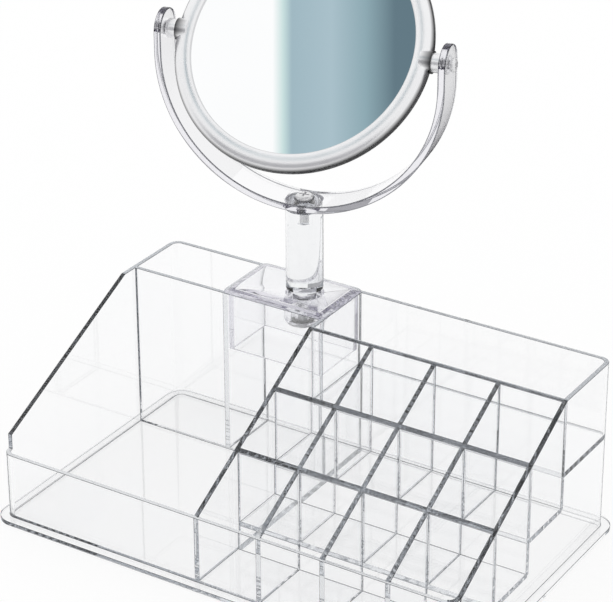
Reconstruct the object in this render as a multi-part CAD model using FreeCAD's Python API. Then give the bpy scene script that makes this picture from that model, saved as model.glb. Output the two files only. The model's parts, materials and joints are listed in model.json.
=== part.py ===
import FreeCAD, Part
import math
import os

# A clear plastic makeup organizer. A moulded tray holds a low bin, a tall bin, a stepped
# lipstick grid and a raised shelf. A round mirror hangs in a U-shaped yoke, and the yoke's
# post turns in a cap that plugs into the tray's tower.
# Millimetres. The origin is where the mirror's upright swivel axis meets the plane of the
# tray's underside. X runs to the right, Y to the back and Z up along the swivel axis.

# Tray: material thicknesses and outer form
wall = 2.0
lowest_floor = 2.0
raised_floor = 2.0
flange_width = 4.0
flange_thickness = 1.8
corner_radius = 5.0

# Tray: clear widths, from left to right
tall_bin_width = 45.25
tower_width = 46.75
cell_width = 27.4
column_count = 4

# Tray: clear depths, from front to back
front_row_depth = 28.0
middle_row_depth = 25.8
back_row_depth = 26.5
shelf_depth = 37.5
tower_depth = 29.1

# Tray: heights above the underside
wall_height = 78.1
front_height = 31.5
left_front_height = 38.2
middle_floor_height = 14.0
back_floor_height = 29.2
shelf_floor_height = 44.7

# Stand: cap, plug and swivel bearing
plug_clearance = 0.4
plug_wall = 1.8
plug_depth = 27.0
cap_lip = 0.8
cap_thickness = 2.6
cap_bevel_width = 4.0
cap_corner_radius = 3.0
bearing_length = 10.0
bearing_wall = 3.0
spigot_radius = 5.0
running_clearance = 0.08
turning_gap = 0.2

# Stand: post
post_offset = 6.1
post_radius = 8.0
post_length = 38.3
post_foot_chamfer = 1.5
washer_radius = 7.0
washer_thickness = 1.2

# Yoke: a flat band bent to a U, with a gap between its ears and the mirror's frame
ear_gap = 5.0
yoke_thickness = 3.2
yoke_width = 17.0
arm_rise = 8.2
hub_drop = 1.0
screw_seat_depth = 0.6

# Mirror: two glasses back to back in a frame of two rings
frame_radius = 54.8
frame_depth = 7.0
frame_rim_width = 1.8
lip_width = 7.4
lip_edge_height = 0.4
crest_inset = 3.0
glass_overlap = 2.0
glass_clearance = 0.1
glass_thickness = 1.8
card_thickness = 0.8
magnifier_radius = 1300.0
boss_radius = 4.7
boss_reach = 0.6
collar_radius = 4.0

# Fasteners: pan-head screws
pivot_screw_radius = 1.5
pivot_screw_grip = 4.2
pivot_head_radius = 3.0
pivot_head_height = 1.8
stand_screw_radius = 2.0
stand_screw_length = 9.0
stand_head_radius = 3.8
stand_head_height = 2.4
screw_clearance = 0.05
screw_tip_room = 1.0
recess_width = 0.9
recess_depth = 1.0
recess_share = 0.6
head_round_share = 0.6

# Pose of the mirror at rest
yoke_yaw = 11.5
mirror_tilt = 41.0

# Places that follow from the sizes: lines across the width
tray_width = (column_count + 3) * wall + tall_bin_width + tower_width + column_count * cell_width
tower_left = -wall - tower_width / 2 - post_offset
left = tower_left - tall_bin_width - wall
right = left + tray_width
grid_left = tower_left + wall + tower_width
first_cell = grid_left + wall

# Lines along the depth
tray_depth = 5 * wall + front_row_depth + middle_row_depth + back_row_depth + shelf_depth
back = wall + tower_depth / 2
front = back - tray_depth
front_row_wall = front + wall + front_row_depth
middle_row_wall = front_row_wall + wall + middle_row_depth
back_row_wall = middle_row_wall + wall + back_row_depth
divider_front = -wall - tower_depth / 2
slope_start = front + wall / 2
slope_end = back_row_wall + wall / 2

# Lines of the mirror, measured from the pivot
lip_radius = frame_radius - lip_width
glass_radius = lip_radius + glass_overlap
glass_front = card_thickness / 2 + glass_thickness
pocket_radius = glass_radius + glass_clearance
boss_face = frame_radius + boss_reach
yoke_inner_radius = frame_radius + ear_gap
yoke_outer_radius = yoke_inner_radius + yoke_thickness
collar_end = yoke_inner_radius - turning_gap
screw_head_seat = yoke_outer_radius + turning_gap
pivot_screw_length = screw_head_seat - boss_face + pivot_screw_grip

# Heights of the stand
cap_top = wall_height + cap_thickness
post_foot = cap_top + turning_gap
spigot_end = wall_height - bearing_length - turning_gap
hub_bottom = post_foot + post_length
yoke_centre_height = hub_bottom + hub_drop + yoke_outer_radius
screw_seat = yoke_centre_height - yoke_inner_radius - screw_seat_depth
pivot_height = yoke_centre_height + arm_rise

across = FreeCAD.Vector(1, 0, 0)
backward = FreeCAD.Vector(0, 1, 0)
upward = FreeCAD.Vector(0, 0, 1)
origin = FreeCAD.Vector(0, 0, 0)


def on_axis(height):
    """A point on the swivel axis."""
    return FreeCAD.Vector(0, 0, height)


def block(x_low, x_high, y_low, y_high, z_low, z_high):
    corner = FreeCAD.Vector(x_low, y_low, z_low)
    return Part.makeBox(x_high - x_low, y_high - y_low, z_high - z_low, corner)


def upright_slab(outline, x_low, thickness):
    """A wall that runs from front to back: its outline in Y and Z, made thick along X."""
    points = [FreeCAD.Vector(x_low, y, z) for y, z in outline]
    face = Part.Face(Part.makePolygon(points + points[:1]))
    return face.extrude(across * thickness)


def rounded_rectangle(x_low, x_high, y_low, y_high, radius, height):
    """A closed wire of four sides and four quarter arcs, level at the given height."""
    edges = []
    corners = [(x_high, y_low, -90), (x_high, y_high, 0), (x_low, y_high, 90), (x_low, y_low, 180)]
    arcs = []
    for x, y, start_angle in corners:
        middle_x = x - math.copysign(radius, x - (x_low + x_high) / 2)
        middle_y = y - math.copysign(radius, y - (y_low + y_high) / 2)
        points = []
        for angle in (start_angle, start_angle + 45, start_angle + 90):
            turn = math.radians(angle)
            offset = FreeCAD.Vector(radius * math.cos(turn), radius * math.sin(turn), 0)
            points.append(FreeCAD.Vector(middle_x, middle_y, height) + offset)
        arcs.append(points)
    for points, following in zip(arcs, arcs[1:] + arcs[:1]):
        edges.append(Part.Arc(*points).toShape())
        edges.append(Part.makeLine(points[-1], following[0]))
    return Part.Wire(edges)


def slope_height(y):
    """Height of the grid's sloping top at a place between the front and the back row wall."""
    share = (y - slope_start) / (slope_end - slope_start)
    return front_height + share * (wall_height - front_height)


def column_left(column):
    return first_cell + column * (cell_width + wall)


# Tray: floors

def tray_inside():
    """The space inside the outer walls, with its rounded corners."""
    radius = corner_radius - wall
    outline = rounded_rectangle(left + wall, right - wall, front + wall, back - wall, radius, 0)
    return Part.Face(outline).extrude(upward * wall_height)


def floor_plate(x_low, x_high, y_low, y_high, top, thickness):
    plate = block(x_low, x_high, y_low, y_high, top - thickness, top)
    return plate.common(tray_inside())


def bin_floor():
    return floor_plate(left, grid_left, front, back, lowest_floor, lowest_floor)


def front_row_floor():
    return floor_plate(first_cell, right, front, front_row_wall + wall, lowest_floor, lowest_floor)


def middle_row_floor():
    y_low = front_row_wall + wall
    return floor_plate(first_cell, right, y_low, middle_row_wall + wall, middle_floor_height, raised_floor)


def back_row_floor():
    y_low = middle_row_wall + wall
    return floor_plate(first_cell, right, y_low, back_row_wall + wall, back_floor_height, raised_floor)


def shelf_floor():
    return floor_plate(first_cell, right, back_row_wall + wall, back, shelf_floor_height, raised_floor)


# Tray: outer walls

def side_wall(x_low, front_top):
    """A side wall between its two corners, with a sloping front part and a level back part."""
    start = front + corner_radius
    end = back - corner_radius
    outline = [(start, 0), (start, front_top), (slope_end, wall_height), (end, wall_height), (end, 0)]
    return upright_slab(outline, x_low, wall)


def left_wall():
    return side_wall(left, left_front_height)


def right_wall():
    return side_wall(right - wall, slope_height(front + corner_radius))


def front_wall():
    return block(left + corner_radius, right - corner_radius, front, front + wall, 0, front_height)


def back_wall():
    return block(left + corner_radius, right - corner_radius, back - wall, back, 0, wall_height)


def outer_corners():
    """Where each upright corner is centred, the angle its quarter starts at, and its height."""
    x_low = left + corner_radius
    x_high = right - corner_radius
    y_low = front + corner_radius
    y_high = back - corner_radius
    return [
        (x_low, y_low, 180, front_height),
        (x_high, y_low, 270, front_height),
        (x_high, y_high, 0, wall_height),
        (x_low, y_high, 90, wall_height),
    ]


def quarter_ring(x, y, start_angle, inner, outer, height):
    centre = FreeCAD.Vector(x, y, 0)
    ring = Part.makeCylinder(outer, height, centre, upward, 90)
    ring = ring.cut(Part.makeCylinder(inner, height, centre, upward))
    ring.rotate(centre, upward, start_angle)
    return ring


def corner_walls():
    inner = corner_radius - wall
    quarters = [quarter_ring(x, y, turn, inner, corner_radius, top) for x, y, turn, top in outer_corners()]
    return Part.makeCompound(quarters)


def base_flange():
    """The narrow foot that runs round the outside of the walls."""
    top = flange_thickness
    x_low = left + corner_radius
    x_high = right - corner_radius
    y_low = front + corner_radius
    y_high = back - corner_radius
    strips = [
        block(left - flange_width, left, y_low, y_high, 0, top),
        block(right, right + flange_width, y_low, y_high, 0, top),
        block(x_low, x_high, front - flange_width, front, 0, top),
        block(x_low, x_high, back, back + flange_width, 0, top),
    ]
    outer = corner_radius + flange_width
    for x, y, turn, _ in outer_corners():
        strips.append(quarter_ring(x, y, turn, corner_radius, outer, top))
    return Part.makeCompound(strips)


# Tray: inner walls

def divider_wall():
    """The full-height wall in front of the tall bin and the tower."""
    y_high = divider_front + wall
    return block(left + wall, grid_left, divider_front, y_high, lowest_floor, wall_height)


def tower_side_wall():
    y_low = divider_front + wall
    return block(tower_left, tower_left + wall, y_low, back - wall, lowest_floor, wall_height)


def grid_side_wall():
    """The wall between the bins and the grid, which also closes the tower's right side."""
    start = front + wall
    end = back - wall
    outline = [
        (start, 0),
        (start, slope_height(start)),
        (slope_end, wall_height),
        (end, wall_height),
        (end, 0),
    ]
    return upright_slab(outline, grid_left, wall)


def column_wall(column):
    """A wall between two columns of cells. It stands on the three stepped floors."""
    start = front + wall
    first_step = front_row_wall + wall
    second_step = middle_row_wall + wall
    outline = [
        (start, lowest_floor),
        (start, slope_height(start)),
        (back_row_wall, slope_height(back_row_wall)),
        (back_row_wall, back_floor_height),
        (second_step, back_floor_height),
        (second_step, middle_floor_height),
        (first_step, middle_floor_height),
        (first_step, lowest_floor),
    ]
    return upright_slab(outline, column_left(column) - wall, wall)


def row_wall(y_low, floor_top):
    """A level cross wall, in one length for each column of cells."""
    top = slope_height(y_low + wall / 2)
    lengths = []
    for column in range(column_count):
        x_low = column_left(column)
        lengths.append(block(x_low, x_low + cell_width, y_low, y_low + wall, floor_top, top))
    return Part.makeCompound(lengths)


def back_row_cross_wall():
    y_high = back_row_wall + wall
    return block(first_cell, right - wall, back_row_wall, y_high, back_floor_height, wall_height)


# Fasteners

def pan_screw(shank_radius, shank_length, head_radius, head_height):
    """A screw along Z: the head stands on the level plane and the shank goes down from it."""
    head = Part.makeCylinder(head_radius, head_height)
    rim = [edge for edge in head.Edges if edge.BoundBox.ZMin > head_height / 2 and edge.isClosed()]
    head = head.makeFillet(head_height * head_round_share, rim)
    reach = head_radius * recess_share
    half_width = recess_width / 2
    for turn in (0, 90):
        slot = block(-reach, reach, -half_width, half_width, head_height - recess_depth, head_height)
        slot.rotate(origin, upward, turn)
        head = head.cut(slot)
    shank = Part.makeCylinder(shank_radius, shank_length, origin, -upward)
    return head.fuse(shank).removeSplitter()


def screw_hole(shank_radius, length, start, direction):
    return Part.makeCylinder(shank_radius + screw_clearance, length, start, direction)


# Stand: cap and post

def stand_cap():
    """The bevelled lid on the tower, with the plug that fills the tower and the post's bearing."""
    radius = cap_corner_radius
    sides = (tower_left, grid_left + wall, divider_front, back)
    inset = (cap_bevel_width, -cap_bevel_width, cap_bevel_width, -cap_bevel_width)
    top_sides = [side + move for side, move in zip(sides, inset)]
    lip = Part.Face(rounded_rectangle(*sides, radius, wall_height)).extrude(upward * cap_lip)
    lower = rounded_rectangle(*sides, radius, wall_height + cap_lip)
    upper = rounded_rectangle(*top_sides, radius, cap_top)
    bevel = Part.makeLoft([lower, upper], True, True)
    x_low = tower_left + wall + plug_clearance
    x_high = grid_left - plug_clearance
    y_low = divider_front + wall + plug_clearance
    y_high = back - wall - plug_clearance
    z_low = wall_height - plug_depth
    plug = block(x_low, x_high, y_low, y_high, z_low, wall_height)
    x_sides = (x_low + plug_wall, x_high - plug_wall)
    y_sides = (y_low + plug_wall, y_high - plug_wall)
    hollow = block(*x_sides, *y_sides, z_low, wall_height)
    bearing_radius = spigot_radius + bearing_wall
    bearing = Part.makeCylinder(bearing_radius, bearing_length, on_axis(wall_height), -upward)
    bore_length = cap_thickness + bearing_length
    bore = Part.makeCylinder(spigot_radius + running_clearance, bore_length, on_axis(cap_top), -upward)
    cap = lip.fuse([bevel, plug.cut(hollow), bearing])
    return cap.cut(bore).removeSplitter()


def post():
    """The round post, with a spigot that turns in the cap."""
    length = hub_bottom - post_foot
    middle = post_foot + length / 2
    column = Part.makeCylinder(post_radius, length, on_axis(post_foot))
    foot_edge = [edge for edge in column.Edges if edge.isClosed() and edge.BoundBox.ZMax < middle]
    column = column.makeChamfer(post_foot_chamfer, foot_edge)
    spigot = Part.makeCylinder(spigot_radius, post_foot - spigot_end, on_axis(spigot_end))
    solid = column.fuse(spigot).removeSplitter()
    yoke_screw_reach = stand_screw_length - (screw_seat - hub_bottom) + screw_tip_room
    post_screw_reach = stand_screw_length - washer_thickness + screw_tip_room
    upper_hole = screw_hole(stand_screw_radius, yoke_screw_reach, on_axis(hub_bottom), -upward)
    lower_hole = screw_hole(stand_screw_radius, post_screw_reach, on_axis(spigot_end), upward)
    return solid.cut(upper_hole).cut(lower_hole)


def post_washer():
    disc = Part.makeCylinder(washer_radius, washer_thickness, on_axis(spigot_end), -upward)
    return disc.cut(screw_hole(stand_screw_radius, washer_thickness, on_axis(spigot_end), -upward))


def stand_screw():
    return pan_screw(stand_screw_radius, stand_screw_length, stand_head_radius, stand_head_height)


def post_screw():
    """The screw under the washer, which keeps the post in the cap."""
    screw = stand_screw()
    screw.rotate(origin, across, 180)
    screw.translate(on_axis(spigot_end - washer_thickness))
    return screw


def yoke_screw():
    """The screw in the bottom of the yoke, which holds it down on the post."""
    screw = stand_screw()
    screw.rotate(origin, upward, yoke_yaw)
    screw.translate(on_axis(screw_seat))
    return screw


# Yoke and mirror, first with the pivot at the origin, along X, and the mirror facing the front

def set_on_post(shape):
    """Turns a piece with the yoke and lifts it to the pivot."""
    shape.rotate(origin, upward, yoke_yaw)
    shape.translate(on_axis(pivot_height))
    return shape


def set_in_yoke(shape):
    """Leans a piece back with the mirror, then places it in the yoke."""
    shape.rotate(origin, across, -mirror_tilt)
    return set_on_post(shape)


def yoke_disc(radius):
    centre = FreeCAD.Vector(0, -yoke_width / 2, -arm_rise)
    return Part.makeCylinder(radius, yoke_width, centre, backward)


def yoke():
    """A U of flat band with rounded ears, a hub for the post's screw and a bore in each ear."""
    ear_radius = yoke_width / 2
    outer = yoke_disc(yoke_outer_radius)
    inner = yoke_disc(yoke_inner_radius)
    reach = yoke_outer_radius
    lower_half = block(-reach, reach, -ear_radius, ear_radius, -arm_rise - reach, -arm_rise)
    band = outer.common(lower_half).cut(inner)
    post_top = hub_bottom - pivot_height
    hub_height = hub_drop + yoke_thickness
    hub = Part.makeCylinder(post_radius, hub_height, on_axis(post_top))
    pieces = [hub.cut(inner)]
    for side in (-1, 1):
        low = min(side * yoke_inner_radius, side * yoke_outer_radius)
        pieces.append(block(low, low + yoke_thickness, -ear_radius, ear_radius, -arm_rise, 0))
        pieces.append(Part.makeCylinder(ear_radius, yoke_thickness, FreeCAD.Vector(low, 0, 0), across))
    solid = band.fuse(pieces).removeSplitter()
    bore_radius = pivot_screw_radius + running_clearance
    bore_start = FreeCAD.Vector(-yoke_outer_radius, 0, 0)
    solid = solid.cut(Part.makeCylinder(bore_radius, 2 * yoke_outer_radius, bore_start, across))
    seat = on_axis(screw_seat - pivot_height)
    recess = Part.makeCylinder(stand_head_radius + turning_gap, screw_seat_depth + hub_height, seat)
    hole = screw_hole(stand_screw_radius, hub_height, on_axis(post_top), upward)
    return set_on_post(solid.cut(recess).cut(hole))


def ring_outline():
    """Section of the front ring: a pocket for the glass behind a rounded, crested lip."""
    half_depth = frame_depth / 2
    half_rim = frame_rim_width / 2
    lip_edge = glass_front + lip_edge_height
    crest = lip_radius + crest_inset
    round_share = math.sin(math.radians(45))

    def point(radius, depth):
        return FreeCAD.Vector(radius, -depth, 0)

    inner_rise = lip_edge + (half_depth - lip_edge) * round_share
    outer_rise = half_rim + (half_depth - half_rim) * round_share
    inner_round = point(crest - crest_inset * round_share, inner_rise)
    outer_round = point(crest + (frame_radius - crest) * round_share, outer_rise)
    crest_point = point(crest, half_depth)
    rim_point = point(frame_radius, half_rim)
    lip_point = point(lip_radius, lip_edge)
    edges = [
        Part.makeLine(point(pocket_radius, 0), point(pocket_radius, glass_front)),
        Part.makeLine(point(pocket_radius, glass_front), point(lip_radius, glass_front)),
        Part.makeLine(point(lip_radius, glass_front), lip_point),
        Part.Arc(lip_point, inner_round, crest_point).toShape(),
        Part.Arc(crest_point, outer_round, rim_point).toShape(),
        Part.makeLine(rim_point, point(frame_radius, 0)),
        Part.makeLine(point(frame_radius, 0), point(pocket_radius, 0)),
    ]
    return Part.Wire(edges)


def frame_half():
    """The front ring with half of each pivot boss, before it is leaned back."""
    ring = Part.Face(ring_outline()).revolve(origin, backward, 360)
    pocket_front = FreeCAD.Vector(0, -frame_depth / 2, 0)
    pocket = Part.makeCylinder(pocket_radius, frame_depth, pocket_front, backward)
    front_half = block(-boss_face, boss_face, -boss_radius, 0, -boss_radius, boss_radius)
    boss = Part.makeCylinder(boss_radius, 2 * boss_face, FreeCAD.Vector(-boss_face, 0, 0), across)
    crest = lip_radius + crest_inset
    middle = block(-crest, crest, -boss_radius, boss_radius, -boss_radius, boss_radius)
    bosses = boss.common(front_half).cut(pocket).cut(middle)
    solid = ring.fuse(bosses).removeSplitter()
    bore = screw_hole(pivot_screw_radius, 2 * boss_face, FreeCAD.Vector(-boss_face, 0, 0), across)
    return solid.cut(bore)


def front_frame():
    return set_in_yoke(frame_half())


def rear_frame():
    return set_in_yoke(frame_half().mirror(origin, backward))


def front_mirror():
    start = FreeCAD.Vector(0, -glass_front, 0)
    return set_in_yoke(Part.makeCylinder(glass_radius, glass_thickness, start, backward))


def rear_mirror():
    """The magnifying glass: flat inside and hollowed outside."""
    start = FreeCAD.Vector(0, card_thickness / 2, 0)
    disc = Part.makeCylinder(glass_radius, glass_thickness, start, backward)
    edge_drop = math.sqrt(magnifier_radius ** 2 - glass_radius ** 2)
    ball = Part.makeSphere(magnifier_radius, FreeCAD.Vector(0, glass_front + edge_drop, 0))
    return set_in_yoke(disc.cut(ball))


def mirror_card():
    """The disc between the two glasses."""
    start = FreeCAD.Vector(0, -card_thickness / 2, 0)
    return set_in_yoke(Part.makeCylinder(glass_radius, card_thickness, start, backward))


def pivot_collar(side):
    """The round spacer between the frame's boss and an ear of the yoke."""
    start = FreeCAD.Vector(side * boss_face, 0, 0)
    length = collar_end - boss_face
    collar = Part.makeCylinder(collar_radius, length, start, across * side)
    return set_in_yoke(collar.cut(screw_hole(pivot_screw_radius, length, start, across * side)))


def pivot_screw(side):
    """The screw through an ear and its collar into the frame, on which the mirror turns."""
    screw = pan_screw(pivot_screw_radius, pivot_screw_length, pivot_head_radius, pivot_head_height)
    screw.rotate(origin, backward, side * 90)
    screw.translate(across * side * screw_head_seat)
    return set_in_yoke(screw)


pieces = {
    "bin_floor": bin_floor(),
    "front_row_floor": front_row_floor(),
    "middle_row_floor": middle_row_floor(),
    "back_row_floor": back_row_floor(),
    "shelf_floor": shelf_floor(),
    "left_wall": left_wall(),
    "right_wall": right_wall(),
    "front_wall": front_wall(),
    "back_wall": back_wall(),
    "corner_walls": corner_walls(),
    "base_flange": base_flange(),
    "divider_wall": divider_wall(),
    "tower_side_wall": tower_side_wall(),
    "grid_side_wall": grid_side_wall(),
    "front_row_cross_wall": row_wall(front_row_wall, lowest_floor),
    "middle_row_cross_wall": row_wall(middle_row_wall, middle_floor_height),
    "back_row_cross_wall": back_row_cross_wall(),
    "stand_cap": stand_cap(),
    "post": post(),
    "post_washer": post_washer(),
    "post_screw": post_screw(),
    "yoke": yoke(),
    "yoke_screw": yoke_screw(),
    "front_frame": front_frame(),
    "rear_frame": rear_frame(),
    "front_mirror": front_mirror(),
    "rear_mirror": rear_mirror(),
    "mirror_card": mirror_card(),
    "left_pivot_collar": pivot_collar(-1),
    "right_pivot_collar": pivot_collar(1),
    "left_pivot_screw": pivot_screw(-1),
    "right_pivot_screw": pivot_screw(1),
}
for column in range(1, column_count):
    pieces["column_wall_%d" % column] = column_wall(column)

os.makedirs("parts", exist_ok=True)
for name, shape in pieces.items():
    shape.exportStep("parts/%s.step" % name)
    print(name, "solids", len(shape.Solids), "volume", round(shape.Volume, 1), "valid", shape.isValid())
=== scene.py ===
# %% [markdown]
# # A clear makeup organizer with a swivel mirror
# The organizer is moulded from clear plastic: a tray of bins and cells, and a round mirror that
# tilts in a U-shaped yoke on a post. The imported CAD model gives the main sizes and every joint.
# This lesson puts a finished skin round it, one piece at a time, in the same frame and in metres.

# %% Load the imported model
import json
import math

import bmesh
import bpy
from mathutils import Matrix, Vector


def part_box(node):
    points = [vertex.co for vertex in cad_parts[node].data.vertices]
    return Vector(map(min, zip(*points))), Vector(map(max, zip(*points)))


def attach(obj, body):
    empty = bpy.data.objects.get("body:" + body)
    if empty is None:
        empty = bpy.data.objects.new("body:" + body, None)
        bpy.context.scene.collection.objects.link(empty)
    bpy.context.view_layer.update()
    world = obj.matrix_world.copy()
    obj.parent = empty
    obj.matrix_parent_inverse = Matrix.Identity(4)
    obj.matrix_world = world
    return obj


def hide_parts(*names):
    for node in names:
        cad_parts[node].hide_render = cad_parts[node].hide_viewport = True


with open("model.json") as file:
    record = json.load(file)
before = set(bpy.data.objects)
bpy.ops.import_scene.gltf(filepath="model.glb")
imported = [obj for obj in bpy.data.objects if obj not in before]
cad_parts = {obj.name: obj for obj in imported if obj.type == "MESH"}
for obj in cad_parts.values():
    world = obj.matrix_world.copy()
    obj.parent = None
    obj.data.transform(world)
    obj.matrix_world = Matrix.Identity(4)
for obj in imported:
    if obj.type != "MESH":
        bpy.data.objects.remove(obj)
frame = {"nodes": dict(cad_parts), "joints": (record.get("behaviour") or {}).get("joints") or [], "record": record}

scene = bpy.context.scene
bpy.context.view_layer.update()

# %% [markdown]
# ## Meshes in millimetres
# Clear plastic hides nothing, so each piece has to be one closed skin with no faces inside it.
# Walls could be copied from the CAD nodes, but those meet face to face, and every seam would
# show. So each piece starts as a few overlapping solids, and an exact Boolean fuses them into one
# skin. The solids are written in millimetres, as a maker would, and scaled to metres at the end.

# %% Solids from points
MILLIMETRE = 0.001
SAME_POINT = 1e-5  # points this close, in millimetres, are one


def solid(name, vertices, faces):
    """A closed mesh from millimetre points, with its faces turned outwards."""
    mesh = bpy.data.meshes.new(name)
    mesh.from_pydata([tuple(v) for v in vertices], [], faces)
    skin = bmesh.new()
    skin.from_mesh(mesh)
    bmesh.ops.remove_doubles(skin, verts=skin.verts, dist=SAME_POINT)
    bmesh.ops.recalc_face_normals(skin, faces=skin.faces)
    skin.to_mesh(mesh)
    skin.free()
    piece = bpy.data.objects.new(name, mesh)
    scene.collection.objects.link(piece)
    return piece


def skin_through(name, loops, ends=True):
    """A skin through loops of equally many points, closed by flat ends."""
    count = len(loops[0])
    last = (len(loops) - 1) * count
    faces = [tuple(range(count)), tuple(range(last, last + count))] if ends else []
    for start in range(0, last, count):
        for i in range(count):
            j = (i + 1) % count
            faces.append((start + i, start + j, start + count + j, start + count + i))
    return solid(name, [point for loop in loops for point in loop], faces)


# %% [markdown]
# ## Walls, floors and round pieces
# Walls and floors are flat plates of the moulding, and the post, the bores and the mirror are
# round. Blender's own cubes and cylinders could be scaled to fit, but an outline raised to a
# thickness and a profile turned as on a lathe take their sizes straight from the lines of the
# object.

# %% Plates and turned pieces
def prism(name, outline, low, high):
    """An outline in X and Y, raised from one height to another."""
    return skin_through(name, [[(x, y, z) for x, y in outline] for z in (low, high)])


def upright_slab(name, outline, x_low, x_high):
    """An outline in Y and Z, made thick along X."""
    return skin_through(name, [[(x, y, z) for y, z in outline] for x in (x_low, x_high)])


def slab(name, x_low, x_high, y_low, y_high, z_low, z_high):
    """A plate with six flat sides."""
    outline = [(x_low, y_low), (x_high, y_low), (x_high, y_high), (x_low, y_high)]
    return prism(name, outline, z_low, z_high)


def turned(name, profile, axis="Z", steps=96):
    """A piece as from a lathe: a closed profile of (radius, place along the axis)."""
    vertices, faces, count = [], [], len(profile)
    for step in range(steps):
        turn = 2 * math.pi * step / steps
        for radius, place in profile:
            a, b = radius * math.cos(turn), radius * math.sin(turn)
            vertices.append({"X": (place, a, b), "Y": (a, place, b), "Z": (a, b, place)}[axis])
        start, following = step * count, ((step + 1) % steps) * count
        for i in range(count):
            j = (i + 1) % count
            if profile[i][0] == 0 and profile[j][0] == 0:
                continue
            faces.append((start + i, start + j, following + j, following + i))
    return solid(name, vertices, faces)


def rod(name, radius, low, high, axis="Z", steps=96):
    """A round rod, to add or to cut with."""
    return turned(name, [(0, low), (radius, low), (radius, high), (0, high)], axis, steps)


# %% [markdown]
# ## Fusing and cutting
# The real tray has no joins, because the plastic fills one mould. Joined meshes would keep faces
# inside the plastic, and those would show. A Boolean keeps only the outer skin, and its exact
# solver also manages faces that lie in one plane. One Boolean takes all the other solids at once.

# %% Fuse or cut solids
def combine(first, others, operation):
    """Applies one exact Boolean of all the others to the first solid."""
    group = bpy.data.collections.new("others")
    scene.collection.children.link(group)
    for other in others:
        scene.collection.objects.unlink(other)
        group.objects.link(other)
    step = first.modifiers.new(operation.lower(), "BOOLEAN")
    step.operation = operation
    step.solver = "EXACT"
    step.operand_type = "COLLECTION"
    step.collection = group
    state = bpy.context.evaluated_depsgraph_get()
    mesh = bpy.data.meshes.new_from_object(first.evaluated_get(state))
    first.modifiers.clear()
    first.data = mesh
    for other in others:
        bpy.data.objects.remove(other)
    bpy.data.collections.remove(group)
    return first


# %% [markdown]
# ## Cleaning a fused skin
# A Boolean leaves seams in flat faces and a few very short edges, and a bevel can't be wider than
# the shortest edge that it meets. So flat neighbours are joined and short edges are closed. The
# faces could then all be cut to triangles, and in small pieces they are. In the tray long thin
# triangles would look like dark wedges, so its flat faces stay whole and are cut only along its
# wall lines.

# %% Close short edges and cut panels
LEAST_CREASE = math.radians(1)  # a smaller bend counts as flat
ON_LINE = 1e-3  # a point this close to a cut lies on it
CUT_SEAM = 2e-3  # cuts this close run together


def creases(vertex):
    """How many edges of a corner are more than a bend of one degree."""
    return sum(1 for e in vertex.link_edges if e.calc_face_angle(math.pi) > LEAST_CREASE)


def close_short_edges(skin, shortest):
    """Moves the end of a short edge that is only a stop on a straight line into its other end."""
    moves = {}
    for edge in skin.edges:
        if edge.calc_length() < shortest and not moves.keys() & set(edge.verts):
            stop, stay = sorted(edge.verts, key=creases)
            if creases(stop) <= 2 and stay not in moves.values():
                moves[stop] = stay
    bmesh.ops.weld_verts(skin, targetmap=moves)
    return len(moves)


def cut_along(skin, lines):
    """Cuts the flat faces along lines from left to right, so that each is a simple panel."""
    normal = Vector((0, 1, 0))
    for y in lines:
        geometry = skin.verts[:] + skin.edges[:] + skin.faces[:]
        bmesh.ops.bisect_plane(skin, geom=geometry, dist=ON_LINE, plane_co=y * normal,
                               plane_no=normal)
    bmesh.ops.remove_doubles(skin, verts=skin.verts, dist=CUT_SEAM)


# %% Clean the skin of a piece
FUSED_SEAM = 1e-4  # points that the Boolean left this close are one
FLAT = math.radians(0.05)  # neighbours with a smaller bend are one face
NO_WIDTH = 1e-3  # a narrower face or edge goes


def tidy(piece, shortest=0.0, lines=()):
    """Joins flat neighbours, closes short edges, and cuts faces along lines or to triangles."""
    skin = bmesh.new()
    skin.from_mesh(piece.data)
    bmesh.ops.remove_doubles(skin, verts=skin.verts, dist=FUSED_SEAM)
    bmesh.ops.dissolve_limit(skin, angle_limit=FLAT, verts=skin.verts, edges=skin.edges)
    bmesh.ops.dissolve_degenerate(skin, dist=NO_WIDTH, edges=skin.edges)
    closed = close_short_edges(skin, shortest)
    loose = [edge for edge in skin.edges if not edge.link_faces]
    bmesh.ops.delete(skin, geom=loose, context="EDGES")
    if lines:
        cut_along(skin, lines)
    else:
        bmesh.ops.triangulate(skin, faces=skin.faces)
    bmesh.ops.recalc_face_normals(skin, faces=skin.faces)
    open_edges = sum(1 for edge in skin.edges if len(edge.link_faces) != 2)
    skin.to_mesh(piece.data)
    skin.free()
    print(piece.name, len(piece.data.polygons), "faces, open edges:", open_edges,
          "short edges closed:", closed)
    return piece


# %% [markdown]
# ## Placing and rounding a piece
# A finished piece goes from millimetres to metres, rides on its CAD body and stands for CAD
# nodes. Moulded edges are never knife sharp: a bevel of a few tenths of a millimetre catches the
# light, and its hardened normals keep the large faces flat. In the photograph the edges of the
# tray and of the yoke are thin dark lines, which a darker room draws in clear edges. A second
# material could make them dark, but clear plastic absorbs light rightly only with one material all
# round. So there the bevelled mesh is kept, and its narrow new faces get an attribute of painted
# shade, which the finish reads to darken their colour.

# %% Finish a piece
SHARP = math.radians(32)  # a smaller bend is a curve, not an edge


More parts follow.
